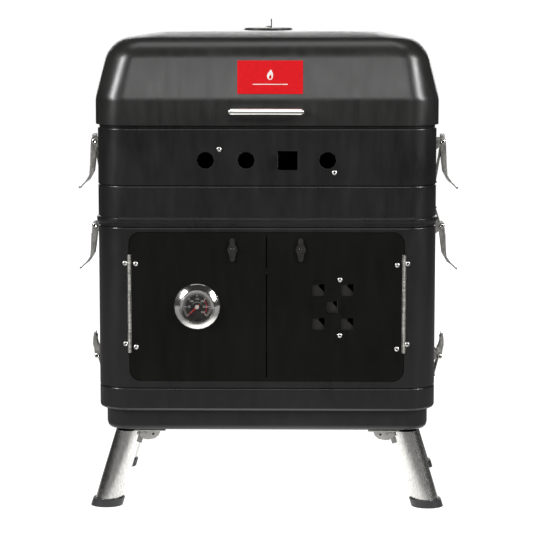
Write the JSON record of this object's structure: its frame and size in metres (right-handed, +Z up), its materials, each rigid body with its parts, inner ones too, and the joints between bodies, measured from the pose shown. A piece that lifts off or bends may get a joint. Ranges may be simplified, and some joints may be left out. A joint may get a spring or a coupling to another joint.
{
  "type": "portable stacked charcoal smoker",
  "caption": "Black box-shaped charcoal smoker in clamped stacked sections, with a hinged lid, double doors with air damper and thermometer, side draw latches and folding splayed legs.",
  "frame": {"origin": "centre of the whole part's footprint on the ground", "axes": "+Z up, -Y is the front with the doors and the lid handle, +X to the right seen from the front"},
  "size_m": [0.5052, 0.3416, 0.6284],
  "materials": {
    "satin_black_paint": "satin high-temperature paint",
    "matt_black_paint": "matt textured high-temperature paint",
    "black_enamel": "gloss vitreous enamel",
    "plated_wire": "bright plated wire",
    "dark_zinc": "dark passivated, satin",
    "zinc_steel": "zinc plated, semi-bright",
    "polished_steel": "polished stainless",
    "dial_black": "matt printed dial",
    "pointer_red": "red paint",
    "clear_glass": "clear",
    "latch_chrome": "bright plated",
    "brushed_leg_steel": "brushed stainless",
    "black_foot_plastic": "moulded, fine texture"
  },
  "bodies": {
    "body": {"fire_pan": "satin_black_paint", "charcoal_grate": "plated_wire", "smoking_chamber": "satin_black_paint", "water_pan": "black_enamel", "smoking_rack": "plated_wire", "spacer_band": "satin_black_paint", "grill_body": "satin_black_paint", "cooking_grate": "black_enamel", "lid_hinge_body_leaf": "zinc_steel", "lid_hinge_pin": "zinc_steel", "left_hinge_body_leaf": "zinc_steel", "left_hinge_pin": "zinc_steel", "left_leg_bracket": "zinc_steel", "left_upper_latch_base": "latch_chrome", "left_middle_latch_base": "latch_chrome", "left_lower_latch_base": "latch_chrome", "right_hinge_body_leaf": "zinc_steel", "right_hinge_pin": "zinc_steel", "right_leg_bracket": "zinc_steel", "right_upper_latch_base": "latch_chrome", "right_middle_latch_base": "latch_chrome", "right_lower_latch_base": "latch_chrome"},
    "lid": {"lid": "satin_black_paint", "lid_handle": "polished_steel", "lid_hinge_lid_leaf": "zinc_steel"},
    "lid_damper": {"lid_damper": "dark_zinc"},
    "vent_slider": {"vent_slider": "dark_zinc"},
    "left_door": {"left_door": "matt_black_paint", "left_hinge_door_leaf": "zinc_steel", "thermometer_case": "polished_steel", "thermometer_dial": "dial_black", "thermometer_glass": "clear_glass"},
    "right_door": {"right_door": "matt_black_paint", "right_hinge_door_leaf": "zinc_steel"},
    "door_damper": {"door_damper": "matt_black_paint"},
    "pointer": {"thermometer_pointer": "pointer_red"},
    "left_door_latch": {"left_door_wing": "dark_zinc", "left_door_cam": "zinc_steel"},
    "left_front_leg": {"left_front_leg": "brushed_leg_steel", "left_front_foot": "black_foot_plastic"},
    "left_rear_leg": {"left_rear_leg": "brushed_leg_steel", "left_rear_foot": "black_foot_plastic"},
    "left_upper_lever": {"left_upper_latch_lever": "latch_chrome"},
    "left_upper_bail": {"left_upper_latch_bail": "latch_chrome"},
    "left_middle_lever": {"left_middle_latch_lever": "latch_chrome"},
    "left_middle_bail": {"left_middle_latch_bail": "latch_chrome"},
    "left_lower_lever": {"left_lower_latch_lever": "latch_chrome"},
    "left_lower_bail": {"left_lower_latch_bail": "latch_chrome"},
    "right_door_latch": {"right_door_wing": "dark_zinc", "right_door_cam": "zinc_steel"},
    "right_front_leg": {"right_front_leg": "brushed_leg_steel", "right_front_foot": "black_foot_plastic"},
    "right_rear_leg": {"right_rear_leg": "brushed_leg_steel", "right_rear_foot": "black_foot_plastic"},
    "right_upper_lever": {"right_upper_latch_lever": "latch_chrome"},
    "right_upper_bail": {"right_upper_latch_bail": "latch_chrome"},
    "right_middle_lever": {"right_middle_latch_lever": "latch_chrome"},
    "right_middle_bail": {"right_middle_latch_bail": "latch_chrome"},
    "right_lower_lever": {"right_lower_latch_lever": "latch_chrome"},
    "right_lower_bail": {"right_lower_latch_bail": "latch_chrome"}
  },
  "joints": [
    {"name": "lid_hinge", "type": "hinge", "parent": "body", "child": "lid", "pos_m": [0, 0.16785, 0.4955], "axis": [-1, 0, 0], "range_deg": [0, 100]},
    {"name": "lid_damper_turn", "type": "hinge", "parent": "lid", "child": "lid_damper", "pos_m": [0, 0.01225, 0.615], "axis": [0, 0, 1], "range_deg": [0, 90]},
    {"name": "vent_slide", "type": "slide", "parent": "body", "child": "vent_slider", "axis": [1, 0, 0], "range_m": [0, 0.024]},
    {"name": "left_door_hinge", "type": "hinge", "parent": "body", "child": "left_door", "pos_m": [-0.1752, -0.13835, 0.2693], "axis": [0, 0, -1], "range_deg": [0, 130]},
    {"name": "right_door_hinge", "type": "hinge", "parent": "body", "child": "right_door", "pos_m": [0.1752, -0.13835, 0.2693], "axis": [0, 0, 1], "range_deg": [0, 130]},
    {"name": "door_damper_slide", "type": "slide", "parent": "right_door", "child": "door_damper", "axis": [-1, 0, 0], "range_m": [0, 0.011]},
    {"name": "thermometer_needle", "type": "hinge", "parent": "left_door", "child": "pointer", "pos_m": [-0.0885, -0.14385, 0.266], "axis": [0, 1, 0], "range_deg": [0, 266]},
    {"name": "left_door_latch_turn", "type": "hinge", "parent": "left_door", "child": "left_door_latch", "pos_m": [-0.0435, -0.13775, 0.339], "axis": [0, -1, 0], "range_deg": [0, 90]},
    {"name": "left_front_leg_fold", "type": "hinge", "parent": "body", "child": "left_front_leg", "pos_m": [-0.159, -0.10575, 0.095], "axis": [0, -1, 0], "range_deg": [0, 107]},
    {"name": "left_rear_leg_fold", "type": "hinge", "parent": "body", "child": "left_rear_leg", "pos_m": [-0.159, 0.13025, 0.095], "axis": [0, -1, 0], "range_deg": [0, 107]},
    {"name": "left_upper_lever_turn", "type": "hinge", "parent": "body", "child": "left_upper_lever", "pos_m": [-0.231, 0.01225, 0.467], "axis": [0, 1, 0], "range_deg": [0, 75]},
    {"name": "left_upper_bail_turn", "type": "hinge", "parent": "left_upper_lever", "child": "left_upper_bail", "pos_m": [-0.2316, 0.01225, 0.474], "axis": [0, 1, 0], "range_deg": [-68, 0]},
    {"name": "left_middle_lever_turn", "type": "hinge", "parent": "body", "child": "left_middle_lever", "pos_m": [-0.231, 0.01225, 0.355], "axis": [0, 1, 0], "range_deg": [0, 75]},
    {"name": "left_middle_bail_turn", "type": "hinge", "parent": "left_middle_lever", "child": "left_middle_bail", "pos_m": [-0.2316, 0.01225, 0.348], "axis": [0, 1, 0], "range_deg": [-61.2, 0]},
    {"name": "left_lower_lever_turn", "type": "hinge", "parent": "body", "child": "left_lower_lever", "pos_m": [-0.2295, 0.01225, 0.179], "axis": [0, -1, 0], "range_deg": [0, 75]},
    {"name": "left_lower_bail_turn", "type": "hinge", "parent": "left_lower_lever", "child": "left_lower_bail", "pos_m": [-0.2301, 0.01225, 0.185], "axis": [0, -1, 0], "range_deg": [-63.9, 0]},
    {"name": "right_door_latch_turn", "type": "hinge", "parent": "right_door", "child": "right_door_latch", "pos_m": [0.0435, -0.13775, 0.339], "axis": [0, 1, 0], "range_deg": [0, 90]},
    {"name": "right_front_leg_fold", "type": "hinge", "parent": "body", "child": "right_front_leg", "pos_m": [0.159, -0.10575, 0.095], "axis": [0, 1, 0], "range_deg": [0, 107]},
    {"name": "right_rear_leg_fold", "type": "hinge", "parent": "body", "child": "right_rear_leg", "pos_m": [0.159, 0.13025, 0.095], "axis": [0, 1, 0], "range_deg": [0, 107]},
    {"name": "right_upper_lever_turn", "type": "hinge", "parent": "body", "child": "right_upper_lever", "pos_m": [0.231, 0.01225, 0.467], "axis": [0, -1, 0], "range_deg": [0, 75]},
    {"name": "right_upper_bail_turn", "type": "hinge", "parent": "right_upper_lever", "child": "right_upper_bail", "pos_m": [0.2316, 0.01225, 0.474], "axis": [0, -1, 0], "range_deg": [-68, 0]},
    {"name": "right_middle_lever_turn", "type": "hinge", "parent": "body", "child": "right_middle_lever", "pos_m": [0.231, 0.01225, 0.355], "axis": [0, -1, 0], "range_deg": [0, 75]},
    {"name": "right_middle_bail_turn", "type": "hinge", "parent": "right_middle_lever", "child": "right_middle_bail", "pos_m": [0.2316, 0.01225, 0.348], "axis": [0, -1, 0], "range_deg": [-61.2, 0]},
    {"name": "right_lower_lever_turn", "type": "hinge", "parent": "body", "child": "right_lower_lever", "pos_m": [0.2295, 0.01225, 0.179], "axis": [0, 1, 0], "range_deg": [0, 75]},
    {"name": "right_lower_bail_turn", "type": "hinge", "parent": "right_lower_lever", "child": "right_lower_bail", "pos_m": [0.2301, 0.01225, 0.185], "axis": [0, 1, 0], "range_deg": [-63.9, 0]}
  ],
  "couplings": [
    {"joint": "left_upper_bail_turn", "follows": "left_upper_lever_turn", "ratio": -0.8997},
    {"joint": "left_middle_bail_turn", "follows": "left_middle_lever_turn", "ratio": -0.8094},
    {"joint": "left_lower_bail_turn", "follows": "left_lower_lever_turn", "ratio": -0.8459},
    {"joint": "right_upper_bail_turn", "follows": "right_upper_lever_turn", "ratio": -0.8997},
    {"joint": "right_middle_bail_turn", "follows": "right_middle_lever_turn", "ratio": -0.8094},
    {"joint": "right_lower_bail_turn", "follows": "right_lower_lever_turn", "ratio": -0.8459}
  ]
}
